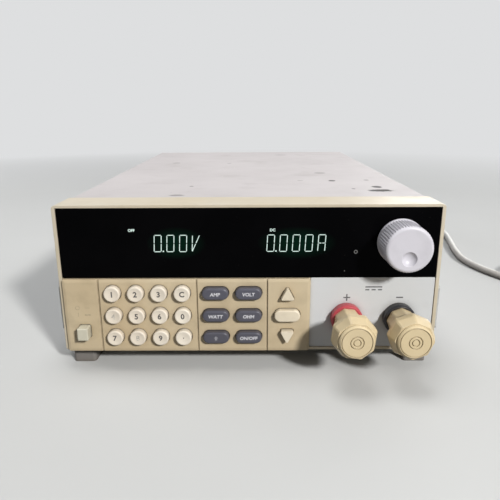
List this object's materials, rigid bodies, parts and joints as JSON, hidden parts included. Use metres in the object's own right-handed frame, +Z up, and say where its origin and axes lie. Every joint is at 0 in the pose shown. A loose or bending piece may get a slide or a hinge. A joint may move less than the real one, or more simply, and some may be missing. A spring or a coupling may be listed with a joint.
{
  "type": "dc electronic load",
  "caption": "Bench DC electronic load: flat half-rack case with a beige keypad front, black display window, ribbed knob and two binding posts.",
  "frame": {"origin": "on the bench, in the middle of the instrument's box without its mains lead", "axes": "+X to the right seen from the front, +Y to the rear, +Z up"},
  "size_m": [0.4363, 0.5205, 0.0965],
  "materials": {
    "frame_plastic": "aged satin moulding",
    "keypad_plastic": "aged fine-textured moulding",
    "window_black": "polished tinted acrylic",
    "display_tube": "vacuum display tube on its board",
    "plate_grey": "smooth printed plate",
    "circuit_board": "solder mask",
    "component_black": "moulded component bodies",
    "bare_steel": "plated",
    "screw_steel": "zinc plated",
    "collar_red": "moulded insulator",
    "collar_black": "moulded insulator",
    "brass": "turned",
    "copper": "bent strip",
    "zinc_steel": "zinc-coated sheet",
    "cover_paint": "fine-textured grey paint, scuffed",
    "rear_paint": "fine-textured grey paint",
    "foot_rubber": "moulded rubber",
    "pad_plastic": "satin moulding",
    "aluminium": "extruded",
    "core_steel": "varnished laminations",
    "fan_plastic": "glass-filled moulding",
    "inlet_plastic": "moulded",
    "terminal_green": "moulded",
    "lead_grey": "soft moulded sheath",
    "key_cream": "satin moulding",
    "button_cream": "satin moulding",
    "knob_white": "satin moulding",
    "nut_plastic": "aged moulding",
    "key_white": "satin moulding",
    "key_grey": "satin moulding"
  },
  "bodies": {
    "case": {"front_frame": "frame_plastic", "display_window": "window_black", "display_module": "display_tube", "key_panel": "keypad_plastic", "input_plate": "plate_grey", "key_board": "circuit_board", "key_switches": "component_black", "encoder_body": "bare_steel", "fasteners": "screw_steel", "red_collar": "collar_red", "black_collar": "collar_black", "terminal_studs": "brass", "busbars": "copper", "power_switch": "component_black", "chassis": "zinc_steel", "top_cover": "cover_paint", "rear_panel": "rear_paint", "feet": "foot_rubber", "side_pads": "pad_plastic", "heatsink": "aluminium", "main_board": "circuit_board", "board_components": "component_black", "transformer": "core_steel", "fan_frame": "fan_plastic", "mains_inlet": "inlet_plastic", "serial_port": "bare_steel", "sense_terminals": "terminal_green", "cord_connector": "lead_grey", "power_cord": "lead_grey", "cord_coil": "lead_grey", "cord_plug": "lead_grey"},
    "key_1": {"key_1": "key_white"},
    "key_2": {"key_2": "key_white"},
    "key_3": {"key_3": "key_white"},
    "key_clear": {"key_clear": "key_white"},
    "key_4": {"key_4": "key_white"},
    "key_5": {"key_5": "key_white"},
    "key_6": {"key_6": "key_white"},
    "key_0": {"key_0": "key_white"},
    "key_7": {"key_7": "key_white"},
    "key_8": {"key_8": "key_white"},
    "key_9": {"key_9": "key_white"},
    "key_point": {"key_point": "key_white"},
    "amps_key": {"amps_key": "key_grey"},
    "volts_key": {"volts_key": "key_grey"},
    "watts_key": {"watts_key": "key_grey"},
    "ohms_key": {"ohms_key": "key_grey"},
    "shift_key": {"shift_key": "key_grey"},
    "on_off_key": {"on_off_key": "key_grey"},
    "up_key": {"up_key": "key_cream"},
    "enter_key": {"enter_key": "key_cream"},
    "down_key": {"down_key": "key_cream"},
    "power_button": {"power_button": "button_cream"},
    "knob": {"encoder_knob": "knob_white", "encoder_shaft": "bare_steel"},
    "positive_washer": {"positive_washer": "brass"},
    "positive_nut": {"positive_nut": "nut_plastic"},
    "negative_washer": {"negative_washer": "brass"},
    "negative_nut": {"negative_nut": "nut_plastic"},
    "fan_rotor": {"fan_rotor": "fan_plastic"}
  },
  "joints": [
    {"name": "key_1_press", "type": "slide", "parent": "case", "child": "key_1", "axis": [0, 1, 0], "range_m": [0, 0.0012], "stiffness_N_per_m": 800, "springref_m": -0.0005},
    {"name": "key_2_press", "type": "slide", "parent": "case", "child": "key_2", "axis": [0, 1, 0], "range_m": [0, 0.0012], "stiffness_N_per_m": 800, "springref_m": -0.0005},
    {"name": "key_3_press", "type": "slide", "parent": "case", "child": "key_3", "axis": [0, 1, 0], "range_m": [0, 0.0012], "stiffness_N_per_m": 800, "springref_m": -0.0005},
    {"name": "key_clear_press", "type": "slide", "parent": "case", "child": "key_clear", "axis": [0, 1, 0], "range_m": [0, 0.0012], "stiffness_N_per_m": 800, "springref_m": -0.0005},
    {"name": "key_4_press", "type": "slide", "parent": "case", "child": "key_4", "axis": [0, 1, 0], "range_m": [0, 0.0012], "stiffness_N_per_m": 800, "springref_m": -0.0005},
    {"name": "key_5_press", "type": "slide", "parent": "case", "child": "key_5", "axis": [0, 1, 0], "range_m": [0, 0.0012], "stiffness_N_per_m": 800, "springref_m": -0.0005},
    {"name": "key_6_press", "type": "slide", "parent": "case", "child": "key_6", "axis": [0, 1, 0], "range_m": [0, 0.0012], "stiffness_N_per_m": 800, "springref_m": -0.0005},
    {"name": "key_0_press", "type": "slide", "parent": "case", "child": "key_0", "axis": [0, 1, 0], "range_m": [0, 0.0012], "stiffness_N_per_m": 800, "springref_m": -0.0005},
    {"name": "key_7_press", "type": "slide", "parent": "case", "child": "key_7", "axis": [0, 1, 0], "range_m": [0, 0.0012], "stiffness_N_per_m": 800, "springref_m": -0.0005},
    {"name": "key_8_press", "type": "slide", "parent": "case", "child": "key_8", "axis": [0, 1, 0], "range_m": [0, 0.0012], "stiffness_N_per_m": 800, "springref_m": -0.0005},
    {"name": "key_9_press", "type": "slide", "parent": "case", "child": "key_9", "axis": [0, 1, 0], "range_m": [0, 0.0012], "stiffness_N_per_m": 800, "springref_m": -0.0005},
    {"name": "key_point_press", "type": "slide", "parent": "case", "child": "key_point", "axis": [0, 1, 0], "range_m": [0, 0.0012], "stiffness_N_per_m": 800, "springref_m": -0.0005},
    {"name": "amps_key_press", "type": "slide", "parent": "case", "child": "amps_key", "axis": [0, 1, 0], "range_m": [0, 0.0012], "stiffness_N_per_m": 800, "springref_m": -0.0005},
    {"name": "volts_key_press", "type": "slide", "parent": "case", "child": "volts_key", "axis": [0, 1, 0], "range_m": [0, 0.0012], "stiffness_N_per_m": 800, "springref_m": -0.0005},
    {"name": "watts_key_press", "type": "slide", "parent": "case", "child": "watts_key", "axis": [0, 1, 0], "range_m": [0, 0.0012], "stiffness_N_per_m": 800, "springref_m": -0.0005},
    {"name": "ohms_key_press", "type": "slide", "parent": "case", "child": "ohms_key", "axis": [0, 1, 0], "range_m": [0, 0.0012], "stiffness_N_per_m": 800, "springref_m": -0.0005},
    {"name": "shift_key_press", "type": "slide", "parent": "case", "child": "shift_key", "axis": [0, 1, 0], "range_m": [0, 0.0012], "stiffness_N_per_m": 800, "springref_m": -0.0005},
    {"name": "on_off_key_press", "type": "slide", "parent": "case", "child": "on_off_key", "axis": [0, 1, 0], "range_m": [0, 0.0012], "stiffness_N_per_m": 800, "springref_m": -0.0005},
    {"name": "up_key_press", "type": "slide", "parent": "case", "child": "up_key", "axis": [0, 1, 0], "range_m": [0, 0.0012], "stiffness_N_per_m": 800, "springref_m": -0.0005},
    {"name": "enter_key_press", "type": "slide", "parent": "case", "child": "enter_key", "axis": [0, 1, 0], "range_m": [0, 0.0012], "stiffness_N_per_m": 800, "springref_m": -0.0005},
    {"name": "down_key_press", "type": "slide", "parent": "case", "child": "down_key", "axis": [0, 1, 0], "range_m": [0, 0.0012], "stiffness_N_per_m": 800, "springref_m": -0.0005},
    {"name": "power_button_push", "type": "slide", "parent": "case", "child": "power_button", "axis": [0, 1, 0], "range_m": [-0.003, 0.001]},
    {"name": "knob_turn", "type": "hinge", "parent": "case", "child": "knob", "pos_m": [0.08375, -0.1565, 0.07585], "axis": [0, 1, 0], "continuous": true},
    {"name": "positive_lift", "type": "slide", "parent": "case", "child": "positive_washer", "axis": [0, -1, 0], "range_m": [0, 0.00625]},
    {"name": "positive_turn", "type": "hinge", "parent": "positive_washer", "child": "positive_nut", "pos_m": [0.0559, -0.161, 0.0305], "axis": [0, -1, 0], "range_deg": [0, 1800]},
    {"name": "negative_lift", "type": "slide", "parent": "case", "child": "negative_washer", "axis": [0, -1, 0], "range_m": [0, 0.00625]},
    {"name": "negative_turn", "type": "hinge", "parent": "negative_washer", "child": "negative_nut", "pos_m": [0.0859, -0.161, 0.0305], "axis": [0, -1, 0], "range_deg": [0, 1800]},
    {"name": "fan_spin", "type": "hinge", "parent": "case", "child": "fan_rotor", "pos_m": [-0.056, 0.1695, 0.054], "axis": [0, 1, 0], "continuous": true}
  ],
  "couplings": [
    {"joint": "positive_turn", "follows": "positive_lift", "rad_per_m": 5026.5},
    {"joint": "negative_turn", "follows": "negative_lift", "rad_per_m": 5026.5}
  ]
}
